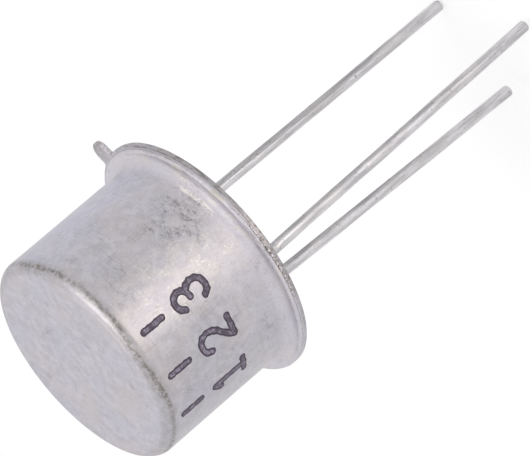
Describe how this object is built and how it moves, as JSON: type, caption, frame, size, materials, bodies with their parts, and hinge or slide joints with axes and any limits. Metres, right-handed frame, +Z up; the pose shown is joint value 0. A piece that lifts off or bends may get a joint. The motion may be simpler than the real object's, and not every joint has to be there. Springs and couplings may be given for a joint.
{
  "type": "npn transistor",
  "caption": "Round metal can npn transistor with a flanged rim, an index tab and three straight wire leads.",
  "frame": {"origin": "centre of the seating plane, the flat underside of the header's rim", "axes": "+Z up the can to its closed top, -Z along the leads to their tips, +X out through the index tab"},
  "size_m": [0.0101, 0.0094, 0.0201],
  "materials": {
    "can": "satin nickel plate, drawn",
    "header": "satin nickel plate, stamped",
    "seal": "dark opaque sealing glass",
    "lead": "tinned, slightly streaked",
    "gold": "gold preform",
    "silicon": "polished silicon",
    "contact": "evaporated aluminium",
    "wire": "drawn bond wire"
  },
  "bodies": {
    "root": {"cap": "can", "header": "header", "glass_seal": "seal", "emitter_lead": "lead", "base_lead": "lead", "collector_lead": "lead", "die_attach": "gold", "die": "silicon", "emitter_contact": "contact", "base_contact": "contact", "emitter_wire": "wire", "base_wire": "wire"}
  },
  "joints": []
}
